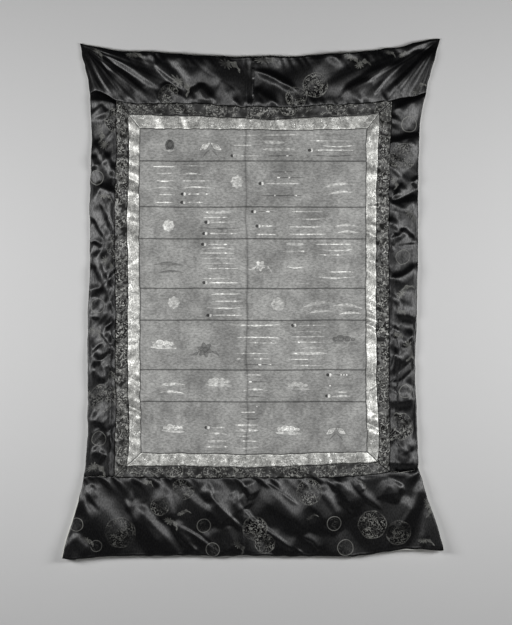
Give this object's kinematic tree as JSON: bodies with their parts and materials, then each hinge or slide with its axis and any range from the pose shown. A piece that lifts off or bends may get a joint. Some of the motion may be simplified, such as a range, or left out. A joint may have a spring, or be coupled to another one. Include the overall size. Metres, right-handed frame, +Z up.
{
  "type": "thangka scroll painting",
  "caption": "Hung painted cloth with two borders of brocade strips and dark satin panels, sagging between its pinned top corners, with slanting folds.",
  "frame": {"origin": "middle of the top edge, on the cloth", "axes": "+Z up, the front of the hanging faces -Y, +X to the right seen from the front"},
  "size_m": [1.0275, 0.0261, 1.4036],
  "materials": {
    "painted_cotton": "matt painted cotton",
    "light_brocade": "pale figured brocade with a metallic sheen",
    "middle_brocade": "mid-toned figured brocade",
    "dark_satin": "dark glossy satin damask with woven roundels",
    "lining_cotton": "plain matt cotton"
  },
  "bodies": {
    "root": {"painting": "painted_cotton", "light_strip_top": "light_brocade", "light_strip_bottom": "light_brocade", "light_strip_left": "light_brocade", "light_strip_right": "light_brocade", "middle_strip_top": "middle_brocade", "middle_strip_bottom": "middle_brocade", "middle_strip_left": "middle_brocade", "middle_strip_right": "middle_brocade", "mount_top": "dark_satin", "mount_bottom": "dark_satin", "mount_left": "dark_satin", "mount_right": "dark_satin", "lining": "lining_cotton"}
  },
  "joints": []
}
